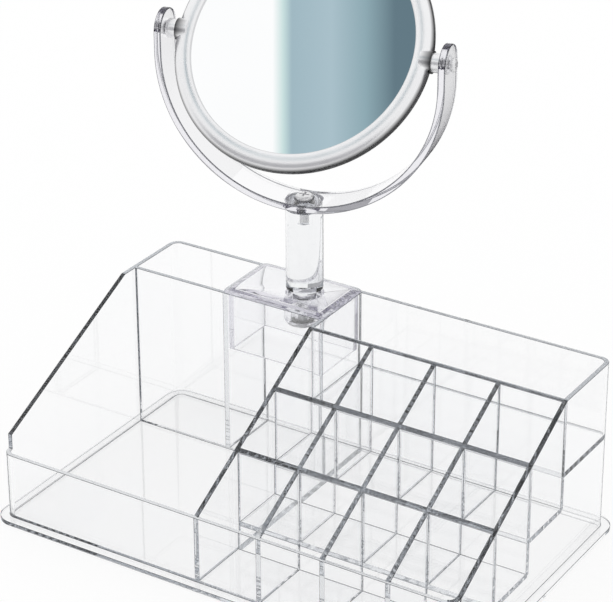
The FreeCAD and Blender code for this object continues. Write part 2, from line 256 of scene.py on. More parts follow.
def note_edges(piece, bevel, shade):
    """Keeps the bevelled mesh and notes painted shade on its narrow new faces for the finish."""
    edge_slot = 1
    for _ in range(edge_slot + 1):
        piece.data.materials.append(None)
    bevel.material = edge_slot
    state = bpy.context.evaluated_depsgraph_get()
    mesh = bpy.data.meshes.new_from_object(piece.evaluated_get(state),
                                           preserve_all_data_layers=True, depsgraph=state)
    piece.modifiers.clear()
    piece.data = mesh
    # Painted shade: the narrow bevel faces get a value that darkens their colour in the finish.
    shades = mesh.attributes.new("painted_edge_shade", "FLOAT", "FACE")
    narrow = [face.material_index == edge_slot for face in mesh.polygons]
    shades.data.foreach_set("value", [shade if is_narrow else 0.0 for is_narrow in narrow])
    for face in mesh.polygons:
        face.material_index = 0
    mesh.materials.clear()
    print(piece.name, sum(narrow), "of", len(narrow), "faces are moulded edges")


def finish_piece(piece, place, body, nodes, rounding=0.0, segments=2, painted_edge_shade=0.0):
    """Places a piece in metres, rounds its edges and ties it to its body and nodes."""
    piece.data.transform(place @ Matrix.Scale(MILLIMETRE, 4))
    for face in piece.data.polygons:
        face.use_smooth = True
    if rounding:
        bevel = piece.modifiers.new("moulded_edges", "BEVEL")
        bevel.width = rounding * MILLIMETRE
        bevel.segments = segments
        bevel.limit_method = "ANGLE"
        bevel.angle_limit = SHARP
        bevel.harden_normals = True
        if painted_edge_shade:
            note_edges(piece, bevel, painted_edge_shade)
    else:
        piece.data.set_sharp_from_angle(angle=SHARP)
    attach(piece, body)
    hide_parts(*nodes)
    return piece


# %% [markdown]
# ## The tray's lines
# The tray is a plan of straight wall lines with level floors at four heights. The lines could be
# typed in again, but each is read from the box of the CAD node that stands on it, so the skin
# can't drift from the solids.

# %% Read the lines of the tray
def edges_of(node):
    """Lowest and highest corner of a CAD node, in millimetres."""
    low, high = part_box(node)
    return low / MILLIMETRE, high / MILLIMETRE


left = edges_of("left_wall")[0].x
right = edges_of("right_wall")[1].x
front = edges_of("front_wall")[0].y
back = edges_of("back_wall")[1].y
wall = edges_of("front_wall")[1].y - front
corner = edges_of("front_wall")[0].x - left
front_height = edges_of("front_wall")[1].z
wall_height = edges_of("back_wall")[1].z
flange_width = left - edges_of("base_flange")[0].x
flange_height = edges_of("base_flange")[1].z
grid_left = edges_of("grid_side_wall")[0].x
tower_left = edges_of("tower_side_wall")[0].x
divider_front = edges_of("divider_wall")[0].y
row_lines = [edges_of(row + "_row_cross_wall")[0].y for row in ("front", "middle", "back")]
floors = ("front_row", "middle_row", "back_row", "shelf")
floor_tops = [edges_of(name + "_floor")[1].z for name in floors]
column_lines = [edges_of("column_wall_%d" % i)[0].x for i in (1, 2, 3)]
print("tray from", left, front, "to", right, back)

# %% [markdown]
# ## The slopes
# The grid's top climbs in one plane from the front wall to the back row, and the left wall has a
# slope of its own, from a step near the front. The grid's plane follows from four of the lines.
# The height of the step is read from the points of the CAD wall, because a box doesn't tell it.

# %% Read the slopes
slope_start = front + wall / 2
slope_end = row_lines[2] + wall / 2
front_end = front + corner + 0.1  # just past the rounded corner
left_points = [v.co / MILLIMETRE for v in frame["nodes"]["left_wall"].data.vertices]
left_front_height = max(p.z for p in left_points if p.y < front_end)


def slope_height(y):
    """Height of the grid's sloping top."""
    share = (y - slope_start) / (slope_end - slope_start)
    return front_height + share * (wall_height - front_height)


print("slope from", front_height, "to", wall_height, "left front height", left_front_height)

# %% [markdown]
# ## The tray's outer shell
# The outer wall runs round a rectangle with rounded corners. It is low in front, has a step and a
# slope at the left, and is full height behind and at the right, where one cut makes the slope
# later. It could be cut from a tall ring, but a loop of matching outer and inner points gives the
# same wall with far fewer faces.

# %% Lay out the outer shell
def corner_arcs(x_low, x_high, y_low, y_high, inset, radius, steps):
    """Points of four rounded corners, anticlockwise from the front right one."""
    centres = [
        (x_high - inset, y_low + inset, -90),
        (x_high - inset, y_high - inset, 0),
        (x_low + inset, y_high - inset, 90),
        (x_low + inset, y_low + inset, 180),
    ]
    arcs = []
    for x, y, start in centres:
        turns = [math.radians(start + 90 * step / steps) for step in range(steps + 1)]
        arcs.append([(x + radius * math.cos(t), y + radius * math.sin(t)) for t in turns])
    return arcs


def tray_corners(radius):
    """The tray's four corners, round the same centres at any radius."""
    return corner_arcs(left, right, front, back, corner, radius, steps=11)


def shell_stations():
    """Outer point, inner point and the heights up the wall, in order round the tray."""
    low, full = [0, front_height], [0, wall_height]
    outer, inner = tray_corners(corner), tray_corners(corner - wall)
    front_right, back_right, back_left, front_left = [
        list(zip(*arcs)) for arcs in zip(outer, inner)]
    stations = [(*front_right[0], low), (*front_right[0], [0, front_height, wall_height])]
    stations += [(o, i, full) for o, i in front_right[1:] + back_right + back_left]
    stations.append(((left, slope_end), (left + wall, slope_end), full))
    stations.append((*front_left[0], [0, front_height, left_front_height]))
    stations += [(o, i, low) for o, i in front_left]
    return stations


print(len(shell_stations()), "stations round the tray")

# %% Build the outer shell
DIGITS = 4  # of a millimetre, to find points again


def outer_shell():
    """The wall between the stations: outside, inside, top, underside, and a face at each step."""
    vertices, faces, known = [], [], {}

    def point(place, height):
        key = (round(place[0], DIGITS), round(place[1], DIGITS), round(height, DIGITS))
        if key not in known:
            known[key] = len(vertices)
            vertices.append(key)
        return known[key]

    stations = shell_stations()
    for (o1, i1, h1), (o2, i2, h2) in zip(stations, stations[1:] + stations[:1]):
        top1, top2 = h1[-1], h2[-1]
        if o1 == o2:
            faces.append((point(o1, top2), point(o1, top1), point(i1, top1), point(i1, top2)))
            continue
        for a, b in ((o1, o2), (i1, i2)):
            faces.append([point(b, h) for h in h2] + [point(a, h) for h in reversed(h1)])
        faces.append((point(o1, top1), point(o2, top2), point(i2, top2), point(i1, top1)))
        faces.append((point(o1, 0), point(o2, 0), point(i2, 0), point(i1, 0)))
    return solid("clear_tray", vertices, faces)


tray = outer_shell()
print("outer shell:", len(tray.data.polygons), "faces")

# %% [markdown]
# ## The tray's floors
# The bin has one large floor, and the floors of the cells climb like stairs to a shelf at the
# back. Floors that end at the walls would only touch them. Each slab reaches half a wall
# thickness into its neighbours instead, so the Boolean always meets solids that overlap.

# %% Build the floors
half = wall / 2
first_cell = grid_left + wall
mid_corner = tray_corners(corner - half)
x_grid = (first_cell - half, right - half)
parts = []

bin_outline = mid_corner[3][::-1] + mid_corner[2][::-1]
bin_outline = [(grid_left + half, front + half)] + bin_outline + [(grid_left + half, back - half)]
parts.append(prism("bin_floor_skin", bin_outline, 0, floor_tops[0]))
row_outline = [(x_grid[0], front + half)] + mid_corner[0]
row_outline += [(x_grid[1], row_lines[0] + half), (x_grid[0], row_lines[0] + half)]
parts.append(prism("front_row_skin", row_outline, 0, floor_tops[0]))
for number in (1, 2):
    y_low, y_high = row_lines[number - 1] + half, row_lines[number] + half
    floor_top = floor_tops[number]
    parts.append(slab("row_floor_skin", *x_grid, y_low, y_high, floor_top - wall, floor_top))
shelf_outline = [(x_grid[0], row_lines[2] + half), (x_grid[1], row_lines[2] + half)]
shelf_outline += mid_corner[1] + [(x_grid[0], back - half)]
parts.append(prism("shelf_skin", shelf_outline, floor_tops[3] - wall, floor_tops[3]))
print(len(parts), "floors")

# %% [markdown]
# ## The tray's inner walls
# A divider and a tower wall stand in the bin, and the grid has a side wall, three walls between
# its columns and three across. Each grid wall could get its own sloping top, but tops that differ
# by a hair leave slivers, so all walls are full height here and one cut slopes them together.

# %% Build the inner walls
parts.append(slab("divider_skin", left + half, grid_left + half,
                  divider_front, divider_front + wall, half, wall_height))
parts.append(slab("tower_skin", tower_left, tower_left + wall,
                  divider_front + half, back - half, half, wall_height))
parts.append(slab("grid_side_skin", grid_left, first_cell, front + half, back - half,
                  0, wall_height))
for x in column_lines:
    outline = [(front + half, floor_tops[0] - half), (front + half, wall_height)]
    outline.append((slope_end, wall_height))
    for number in (2, 1):
        outline.append((outline[-1][0], floor_tops[number] - half))
        outline.append((row_lines[number - 1] + half, floor_tops[number] - half))
    outline.append((outline[-1][0], floor_tops[0] - half))
    parts.append(upright_slab("column_skin", outline, x, x + wall))
for line, floor_top in zip(row_lines, floor_tops):
    parts.append(slab("row_wall_skin", *x_grid, line, line + wall, floor_top - half, wall_height))
print(len(parts), "floors and walls inside the shell")

# %% [markdown]
# ## The base flange
# A thin flange runs round the tray's foot. It could be a plate under the whole tray, but its
# inner edge only has to reach into the wall, so it is a ring of outer and inner points.

# %% Build the flange
def flange_ring():
    """A flat ring from inside the wall to the flange's edge."""
    outer = [p for arc in tray_corners(corner + flange_width) for p in arc]
    inner = [p for arc in tray_corners(corner - half) for p in arc]
    count = len(outer)
    heights = (0, flange_height)
    vertices = [(x, y, z) for loop in (outer, inner) for z in heights for x, y in loop]
    faces = []
    for i in range(count):
        j = (i + 1) % count
        for a, b in ((0, 1), (2, 3), (0, 2), (1, 3)):
            faces.append((a * count + i, a * count + j, b * count + j, b * count + i))
    return solid("flange_skin", vertices, faces)


parts.append(flange_ring())
print("flange", round(flange_width, 2), "mm wide and", round(flange_height, 2), "mm high")

# %% [markdown]
# ## One tray with a sloping top
# The moulding comes out of its mould in one piece. Here all solids are fused, and one wedge then
# cuts the grid and the right wall along the slope, so that all tops lie in one plane. The wedge
# reaches past everything it cuts, because a Boolean is surest where faces don't coincide.

# %% Fuse the tray and cut its slope
combine(tray, parts, "UNION")
past_slope, past_wall, past_grid = 20, 10, 5
beyond, before = slope_end + past_slope, front - past_wall
cut_outline = [(before, front_height), (slope_start, front_height),
               (beyond, slope_height(beyond)), (before, slope_height(beyond))]
slope_cut = upright_slab("slope_cut", cut_outline, grid_left - past_grid, right + past_wall)
combine(tray, [slope_cut], "DIFFERENCE")
panel_lines = [slope_start]
panel_lines += [y + step for y in row_lines + [divider_front] for step in (0, wall)]
tidy(tray, shortest=0.3, lines=panel_lines)
here = Matrix.Identity(4)
tray_nodes = frame["record"]["behaviour"]["bodies"]["tray"]
# The tray's narrow bevel faces get full painted shade.
finish_piece(tray, here, "tray", tray_nodes, rounding=0.18, painted_edge_shade=1.0)

# %% [markdown]
# ## The stand's cap
# The cap is a bevelled lid on the tower, with a plug that fills the tower's mouth and a bearing
# for the post. The lid could be a slab with a wide bevel, but three outlines at three heights
# give its lip and slope exactly. Its underside rests a hair above the tower, because two clear
# faces in one place flicker.

# %% Build the lid
cap_low, cap_high = edges_of("stand_cap")
cap_bevel, cap_lip, cap_round, rest_gap = 4.0, 0.8, 3.0, 0.05
lip_top = wall_height + cap_lip


def rounded_outline(sides):
    """A rectangle with rounded corners, as one loop of points."""
    arcs = corner_arcs(*sides, cap_round, cap_round, steps=6)
    return [point for arc in arcs for point in arc]


def drawn_in(sides, inset):
    """The sides of a rectangle, each moved inwards."""
    x_low, x_high, y_low, y_high = sides
    return x_low + inset, x_high - inset, y_low + inset, y_high - inset


cap_sides = (cap_low.x, cap_high.x, cap_low.y, cap_high.y)
wide, narrow = rounded_outline(cap_sides), rounded_outline(drawn_in(cap_sides, cap_bevel))
levels = [(wide, wall_height + rest_gap), (wide, lip_top), (narrow, cap_high.z)]
cap = skin_through("clear_cap", [[(x, y, z) for x, y in outline] for outline, z in levels])
print("lid from", round(wall_height + rest_gap, 2), "to", round(cap_high.z, 2), "mm")

# %% [markdown]
# ## The cap's plug and bearing
# The plug is a thin box that is open below, and the bearing is a thick tube under the lid. Both
# are drawn as plain solids that reach into the lid, and then the hollow and the bore are cut out.

# %% Add the plug and the bearing
OVERSHOOT = 1  # how far a cutter reaches past the face that it cuts
plug_inset, plug_wall, bearing_radius, bore_radius, bearing_depth = 2.4, 1.8, 8.0, 5.08, 10.0
bearing_bottom = wall_height - bearing_depth
plug_sides = drawn_in(cap_sides, plug_inset)
plug = slab("plug", *plug_sides, cap_low.z, lip_top)
hollow_sides = drawn_in(plug_sides, plug_wall)
hollow = slab("hollow", *hollow_sides, cap_low.z - OVERSHOOT, wall_height + rest_gap)
combine(plug, [hollow], "DIFFERENCE")
bearing = rod("bearing", bearing_radius, bearing_bottom, lip_top)
combine(cap, [plug, bearing], "UNION")
bore = rod("bore", bore_radius, bearing_bottom - OVERSHOOT, cap_high.z + OVERSHOOT)
combine(cap, [bore], "DIFFERENCE")
tidy(cap)
finish_piece(cap, here, "stand", ["stand_cap"], rounding=0.3)

# %% [markdown]
# ## The post
# The post is a solid rod that turns in the cap, with a thinner spigot below and a screw hole in
# each end. It could be fused from rods, but a lathe profile gives all of it in one go.

# %% Turn the post
post_low, post_high = edges_of("post")
post_radius, spigot_radius, hole_radius, foot_chamfer = 8.0, 5.0, 2.05, 1.5
foot_gap, lower_hole_depth, upper_hole_depth = 0.2, 8.8, 6.4
post_foot, post_top = cap_high.z + foot_gap, post_high.z - rest_gap
lower_hole_end, upper_hole_end = post_low.z + lower_hole_depth, post_high.z - upper_hole_depth
post_profile = [
    (0, lower_hole_end), (hole_radius, lower_hole_end), (hole_radius, post_low.z),
    (spigot_radius, post_low.z), (spigot_radius, post_foot),
    (post_radius - foot_chamfer, post_foot), (post_radius, post_foot + foot_chamfer),
    (post_radius, post_top), (hole_radius, post_top),
    (hole_radius, upper_hole_end), (0, upper_hole_end),
]
post = tidy(turned("clear_post", post_profile))
finish_piece(post, here, "yoke", ["post"], rounding=0.2)

# %% [markdown]
# ## The yoke's band
# The yoke is a flat band bent to a U, with rounded ears that hold the mirror. A curve with a flat
# section could make it, but its ears would end square. So the band is walked from one ear's tip
# to the other's, with four corners at each stop, and it narrows to nothing at the tips.

# %% Bend the yoke
tilt_joint = next(joint for joint in frame["joints"] if joint["name"] == "mirror_tilt")
pivot, pivot_axis = Vector(tilt_joint["pos_m"]), Vector(tilt_joint["axis"])
yoke_turn = math.atan2(pivot_axis.y, pivot_axis.x)
yoke_place = Matrix.Translation(pivot) @ Matrix.Rotation(yoke_turn, 4, "Z")
ring_radius, ear_gap, band, band_width, arm_rise = 54.8, 5.0, 3.2, 17.0, 8.2
yoke_inner = ring_radius + ear_gap
yoke_outer = yoke_inner + band - rest_gap
ear = band_width / 2
tip_steps, bend_steps = 9, 72


def yoke_stations():
    """Half width, inner and outer point in X and Z, from the left ear's tip to the right one's."""
    arm = []
    for step in range(tip_steps, 0, -1):
        turn = math.radians(90 / tip_steps * step)
        arm.append((ear * math.cos(turn), -yoke_inner, -yoke_outer, ear * math.sin(turn)))
    arm.append((ear, -yoke_inner, -yoke_outer, 0.0))
    stations = [(w, (i, z), (o, z)) for w, i, o, z in arm]
    for step in range(bend_steps + 1):
        turn = math.pi + math.pi * step / bend_steps
        inner, outer = [(radius * math.cos(turn), radius * math.sin(turn) - arm_rise)
                        for radius in (yoke_inner, yoke_outer)]
        stations.append((ear, inner, outer))
    stations += [(w, (-i, z), (-o, z)) for w, i, o, z in reversed(arm)]
    return stations


band_loops = [[(i[0], -w, i[1]), (i[0], w, i[1]), (o[0], w, o[1]), (o[0], -w, o[1])]
              for w, i, o in yoke_stations()]
yoke = skin_through("clear_yoke", band_loops, ends=False)
print("yoke turned by", round(math.degrees(yoke_turn), 2), "degrees,", len(band_loops), "stops")

# %% [markdown]
# ## The yoke's hub and bores
# A hub under the band meets the post, a screw goes down through it from a flat seat, and a pin
# goes through each ear. All of these are rods, added or cut out with Booleans, and one long rod
# cuts both ears so that they stay in line.

# %% Add the hub and cut the bores
BORE_STEPS = 24
hub_drop, hub_overlap, seat_depth, seat_radius, seat_height = 1.0, 0.6, 0.6, 4.0, 6
pin_radius = 1.58
hub_bottom = post_high.z - pivot.z / MILLIMETRE
hub_top = hub_bottom + hub_drop + hub_overlap * band
seat = -arm_rise - yoke_inner - seat_depth
pin_reach = yoke_outer + OVERSHOOT
combine(yoke, [rod("hub", post_radius, hub_bottom + rest_gap, hub_top)], "UNION")
cuts = [
    rod("seat", seat_radius, seat, seat + seat_height),
    rod("hole", hole_radius, hub_bottom - OVERSHOOT, seat + OVERSHOOT),
    rod("bore", pin_radius, -pin_reach, pin_reach, "X", BORE_STEPS),
]
combine(yoke, cuts, "DIFFERENCE")
tidy(yoke)
# The band's narrow bevel faces get full painted shade.
finish_piece(yoke, yoke_place, "yoke", ["yoke"],
             rounding=0.5, segments=3, painted_edge_shade=1.0)

# %% [markdown]
# ## The mirror's frame
# Two silver-plated rings clasp the glasses. They could be two pieces, but they never come apart,
# so they are turned as one ring with a fine parting groove round the rim. The lathe profile has a
# pocket for the glasses, a rounded crest on both sides and a thin rim.

# %% Draw the frame's profile
lip_radius, pocket_radius, glass_front, lip_edge = 47.4, 49.5, 2.2, 2.6
crest_radius, half_depth, half_rim, groove_half, groove_depth = 50.4, 3.5, 0.9, 0.12, 0.25


def arc_points(start, end, bulge, steps=8):
    """A quarter of an ellipse from start to end, bulging towards the given corner."""
    centre = (start[0] + end[0] - bulge[0], start[1] + end[1] - bulge[1])
    points = []
    for step in range(steps + 1):
        turn = math.pi / 2 * step / steps
        a, b = math.cos(turn), math.sin(turn)
        points.append((centre[0] + (start[0] - centre[0]) * a + (end[0] - centre[0]) * b,
                       centre[1] + (start[1] - centre[1]) * a + (end[1] - centre[1]) * b))
    return points


crest, rim, lip = (crest_radius, half_depth), (ring_radius, half_rim), (lip_radius, lip_edge)
front_half = [(pocket_radius, glass_front), (lip_radius, glass_front)]
front_half += arc_points(lip, crest, (lip_radius, half_depth))
front_half += arc_points(crest, rim, (ring_radius, half_depth))[1:]
front_half += [(ring_radius, groove_half)]
groove = [(ring_radius - groove_depth, 0.0)]
ring_profile = [(r, -p) for r, p in front_half] + groove + front_half[::-1]
print(len(ring_profile), "points in the frame's profile")

# %% [markdown]
# ## Turning the frame
# The profile is turned round the mirror's own axis, and a boss at each side carries a pivot
# screw. How far the mirror leans back is read from the CAD glass. The rim is a dark line in the
# photograph, and here it is painted shade: each point keeps its share of that shade in an
# attribute, which the finish reads, so the line fades softly into the crest. A thin ring at the
# inner lip, next to the glass, gets a little painted shade as well.

# %% Turn the frame
glass_faces = frame["nodes"]["front_mirror"].data.polygons
facing = max((f for f in glass_faces if f.normal.y < 0), key=lambda f: f.area).normal
mirror_lean = math.asin(facing.z)
mirror_place = yoke_place @ Matrix.Rotation(-mirror_lean, 4, "X")
boss_face, boss_radius, screw_radius = 55.4, 4.7, 1.55
ring = turned("silver_frame", ring_profile, "Y", steps=160)
bosses = [rod("boss", boss_radius, sign * crest_radius, sign * boss_face, "X", steps=48)
          for sign in (-1, 1)]
combine(ring, bosses, "UNION")
screw_reach = boss_face + OVERSHOOT
combine(ring, [rod("screw_bore", screw_radius, -screw_reach, screw_reach, "X", BORE_STEPS)],
        "DIFFERENCE")
tidy(ring)
print("mirror leans back", round(math.degrees(mirror_lean), 2), "degrees")

# %% Shade the rim
# Painted shade: it rises from shade_start out to the rim, and a thin ring at the inner lip gets a light painted
# shade.
shade_start, lip_width, painted_lip_shade = 53.5, 0.4, 0.2
shade = ring.data.attributes.new("painted_rim_shade", "FLOAT", "POINT")
for point, vertex in zip(shade.data, ring.data.vertices):
    distance_out = math.hypot(vertex.co.x, vertex.co.z)
    point.value = min(1.0, max(0.0, (distance_out - shade_start) / (ring_radius - shade_start)))
    if distance_out < lip_radius + lip_width:
        point.value = painted_lip_shade
finish_piece(ring, mirror_place, "mirror", ["front_frame", "rear_frame"],
             rounding=0.15)
print("the rim's shade starts", shade_start, "mm from the middle")

# %% [markdown]
# ## The mirror glasses
# The front glass is flat and the rear one is hollowed to magnify. Flat discs would do for a
# picture from the front, but both are turned, the front one with a ground edge, and the rear
# one's hollow has enough rings to reflect without facets.

# %% Turn the glasses
glass_radius, ground_edge, card_half, glue_gap = 49.4, 0.25, 0.4, 0.02
hollow_radius, rings, glass_steps = 1300.0, 24, 128
glass_back = card_half + glue_gap
front_profile = [
    (0, -glass_front), (glass_radius - ground_edge, -glass_front),
    (glass_radius, -glass_front + ground_edge), (glass_radius, -glass_back), (0, -glass_back),
]
front_glass = tidy(turned("front_glass", front_profile, "Y", glass_steps))
finish_piece(front_glass, mirror_place, "mirror", ["front_mirror"])
hollow_rise = math.sqrt(hollow_radius ** 2 - glass_radius ** 2)
rear_profile = [(0, glass_back), (glass_radius, glass_back)]
for step in range(rings, -1, -1):
    r = glass_radius * step / rings
    rear_profile.append((r, glass_front - (math.sqrt(hollow_radius ** 2 - r ** 2) - hollow_rise)))
rear_glass = tidy(turned("rear_glass", rear_profile, "Y", glass_steps))
finish_piece(rear_glass, mirror_place, "mirror", ["rear_mirror"])

# %% [markdown]
# ## Tools for the finishes
# No real surface has one flat colour or one even gloss. A photograph could give the variation,
# but noise in the piece's own coordinates has no seams and needs no unwrapping. Each finish
# starts from Blender's all-round shader, and noise varies its colour and roughness a little.

# %% Shader helpers
RAMP_START, RAMP_END = 0.3, 0.7  # noise seldom leaves this range


def new_material(name):
    """A material with the all-round shader, and what is needed to add to it."""
    material = bpy.data.materials.new(name)
    material.use_nodes = True
    nodes, links = material.node_tree.nodes, material.node_tree.links
    return material, nodes, links, nodes["Principled BSDF"]


def noise(nodes, links, scale, detail=3.0):
    """A cloudy texture that sticks to the piece."""
    place = nodes.new("ShaderNodeTexCoord")
    grain = nodes.new("ShaderNodeTexNoise")
    grain.inputs["Scale"].default_value = scale
    grain.inputs["Detail"].default_value = detail
    links.new(place.outputs["Object"], grain.inputs["Vector"])
    return grain


def ramp(nodes, links, source, low, high):
    """Colours between low and high, following a texture."""
    scale = nodes.new("ShaderNodeValToRGB")
    first, last = scale.color_ramp.elements
    first.position, last.position = RAMP_START, RAMP_END
    first.color, last.color = (*low, 1), (*high, 1)
    links.new(source.outputs["Fac"], scale.inputs["Fac"])
    return scale.outputs["Color"]


def polish(nodes, links, shader, source, smooth, rough):
    """Lets the roughness run between two levels, following a texture."""
    levels = ramp(nodes, links, source, (smooth,) * 3, (rough,) * 3)
    links.new(levels, shader.inputs["Roughness"])


def bump(nodes, links, shader, source, strength, distance):
    """Raises the surface a little, following a texture."""
    wave = nodes.new("ShaderNodeBump")
    wave.inputs["Strength"].default_value = strength
    wave.inputs["Distance"].default_value = distance
    links.new(source.outputs["Fac"], wave.inputs["Height"])
    links.new(wave.outputs["Normal"], shader.inputs["Normal"])


# %% Shades and dressing
def with_painted_shade(nodes, links, tint, attribute, dark):
    """The tint, going to a dark colour where the piece's attribute says so, as painted shade."""
    shade = nodes.new("ShaderNodeAttribute")
    shade.attribute_name = attribute
    mix = nodes.new("ShaderNodeMix")
    mix.data_type = "RGBA"
    mix.inputs["B"].default_value = dark
    links.new(shade.outputs["Fac"], mix.inputs["Factor"])
    links.new(tint, mix.inputs["A"])
    return mix.outputs["Result"]


def dress(piece, finish):
    """Gives a piece one finish all over."""
    piece.data.materials.clear()
    piece.data.materials.append(finish)
    print(piece.name, "is dressed in", finish.name)


# %% [markdown]
# ## Clear plastic
# Clear plastic is a glass shader with the plastic's own refraction and a little absorption, so
# a wall seen edge-on goes grey, as thick clear plastic does. One body could serve for all, but
# in the photograph the cap and the yoke look denser, with a faint lavender tint, so they get a
# body of their own. The narrow moulded edges get painted shade, a dark colour that stands for the
# dark lines a darker room draws in clear edges. Faint waves in the gloss and the surface stand
# for the flow of the moulding.

# %% Clear plastic
def clear_plastic(name, body_colour, density):
    material, nodes, links, shader = new_material(name)
    flow = noise(nodes, links, scale=35.0)
    tint = ramp(nodes, links, flow, (0.993, 0.995, 0.998), (1.0, 1.0, 1.0))
    # Painted shade: the colour goes nearly black on the narrow edge faces that the attribute marks.
    painted_edge_tint = with_painted_shade(nodes, links, tint, "painted_edge_shade", (0.12, 0.125, 0.135, 1))
    links.new(painted_edge_tint, shader.inputs["Base Color"])
    polish(nodes, links, shader, flow, smooth=0.0, rough=0.02)
    shader.inputs["Transmission Weight"].default_value = 1.0
    shader.inputs["IOR"].default_value = 1.5
    bump(nodes, links, shader, flow, strength=0.02, distance=0.0005)
    body = nodes.new("ShaderNodeVolumeAbsorption")
    body.inputs["Color"].default_value = body_colour
    body.inputs["Density"].default_value = density
    links.new(body.outputs["Volume"], nodes["Material Output"].inputs["Volume"])
    return material


plastic = clear_plastic("clear_plastic_finish", (0.55, 0.58, 0.62, 1), density=14.0)
thick_plastic = clear_plastic("clear_stand_finish", (0.53, 0.51, 0.62, 1), density=18.0)
for piece in (tray, post):
    dress(piece, plastic)
for piece in (cap, yoke):
    dress(piece, thick_plastic)

# %% [markdown]
# ## Silvered glass
# The mirror glasses are silvered behind. Clear glass over a silver sheet would show a double
# image at the edge, which is too fine to see here, so the whole glass is a bright metal with
# hardly any haze.

# %% Silvered glass
def silvered_glass():
    material, nodes, links, shader = new_material("silvered_glass")
    haze = noise(nodes, links, scale=18.0)
    tint = ramp(nodes, links, haze, (0.965, 0.975, 0.98), (0.98, 0.985, 0.99))
    links.new(tint, shader.inputs["Base Color"])
    polish(nodes, links, shader, haze, smooth=0.0, rough=0.015)
    shader.inputs["Metallic"].default_value = 1.0
    return material


silver = silvered_glass()
for piece in (front_glass, rear_glass):
    dress(piece, silver)

# %% [markdown]
# ## Silver plating
# The frame and its pivot collars are plastic with a silvery plating, softer than the mirror. The
# CAD solids of the collars are right as they are, so they stay and only get this finish. The
# rim's dark line and the faint shade at the inner lip are painted shade, read from the attribute
# of the frame's points. The collars have none and stay bright.

# %% Silver plating
def silver_plating():
    material, nodes, links, shader = new_material("silver_plating")
    cloud = noise(nodes, links, scale=60.0)
    tint = ramp(nodes, links, cloud, (0.84, 0.84, 0.85), (0.9, 0.9, 0.91))
    # Painted shade: the plating goes nearly black towards the rim and a little darker at the inner lip.
    painted_rim_tint = with_painted_shade(nodes, links, tint, "painted_rim_shade", (0.03, 0.03, 0.032, 1))
    links.new(painted_rim_tint, shader.inputs["Base Color"])
    polish(nodes, links, shader, cloud, smooth=0.26, rough=0.34)
    shader.inputs["Metallic"].default_value = 1.0
    return material


plating = silver_plating()
dress(ring, plating)
for name in ("left_pivot_collar", "right_pivot_collar"):
    dress(frame["nodes"][name], plating)

# %% [markdown]
# ## Steel and card
# The screws and the washer are zinc-plated steel with a fine grain, and a grey card lies between
# the glasses. New meshes would add nothing that shows, so their CAD solids stay and get a finish.

# %% Steel and card
def plated_steel():
    material, nodes, links, shader = new_material("plated_steel")
    grain = noise(nodes, links, scale=900.0, detail=6.0)
    tint = ramp(nodes, links, grain, (0.86, 0.86, 0.87), (0.94, 0.94, 0.95))
    links.new(tint, shader.inputs["Base Color"])
    polish(nodes, links, shader, grain, smooth=0.34, rough=0.48)
    shader.inputs["Metallic"].default_value = 0.7
    bump(nodes, links, shader, grain, strength=0.1, distance=0.0001)
    return material


def grey_card():
    material, nodes, links, shader = new_material("grey_card")
    grain = noise(nodes, links, scale=700.0, detail=5.0)
    tint = ramp(nodes, links, grain, (0.5, 0.51, 0.53), (0.6, 0.61, 0.62))
    links.new(tint, shader.inputs["Base Color"])
    shader.inputs["Roughness"].default_value = 0.8
    bump(nodes, links, shader, grain, strength=0.2, distance=0.0001)
    return material


steel = plated_steel()
for name in ("post_screw", "yoke_screw", "left_pivot_screw", "right_pivot_screw", "post_washer"):
    dress(frame["nodes"][name], steel)
dress(frame["nodes"]["mirror_card"], grey_card())

# %% [markdown]
# ## White floor
# The photograph has a plain white ground. Strong lamps on a white floor would also bleach the
# object, so the floor adds light of its own, only for rays that look at it. Its own colour is
# low, and the shadows stay on it.

# %% A glow for rays that look
def looked_at(nodes, links):
    """1 for rays that look at a surface straight, in a reflection or through clear plastic."""
    path = nodes.new("ShaderNodeLightPath")
    total = path.outputs["Is Camera Ray"]
    for name in ("Is Glossy Ray", "Is Transmission Ray"):
        larger = nodes.new("ShaderNodeMath")
        larger.operation = "MAXIMUM"
        links.new(total, larger.inputs[0])
        links.new(path.outputs[name], larger.inputs[1])
        total = larger.outputs[0]
    return total


def glowing(name):
    """A material that has only a glow and an output, for the floor and the studio cards."""
    material = bpy.data.materials.new(name)
    material.use_nodes = True
    nodes, links = material.node_tree.nodes, material.node_tree.links
    nodes.clear()
    glow = nodes.new("ShaderNodeEmission")
    out = nodes.new("ShaderNodeOutputMaterial")
    links.new(glow.outputs[0], out.inputs["Surface"])
    return material, nodes, links, glow


# %% Lay the floor
def white_floor(own_colour, glow_level):
    material, nodes, links, glow = glowing("white_floor")
    matt = nodes.new("ShaderNodeBsdfDiffuse")
    matt.inputs["Color"].default_value = (own_colour, own_colour, own_colour, 1)
    level = nodes.new("ShaderNodeMath")
    level.operation = "MULTIPLY"
    level.inputs[1].default_value = glow_level
    links.new(looked_at(nodes, links), level.inputs[0])
    links.new(level.outputs[0], glow.inputs["Strength"])
    both = nodes.new("ShaderNodeAddShader")
    links.new(matt.outputs[0], both.inputs[0])
    links.new(glow.outputs[0], both.inputs[1])
    links.new(both.outputs[0], nodes["Material Output"].inputs["Surface"])
    return material


def flat_sheet(name, half_width, half_height, material, height=0.0):
    """A flat rectangle round the origin, for the floor and the studio cards."""
    mesh = bpy.data.meshes.new(name)
    signs = [(-1, -1), (1, -1), (1, 1), (-1, 1)]
    points = [(a * half_width, b * half_height, height) for a, b in signs]
    mesh.from_pydata(points, [], [(0, 1, 2, 3)])
    mesh.materials.append(material)
    sheet = bpy.data.objects.new(name, mesh)
    scene.collection.objects.link(sheet)
    return sheet


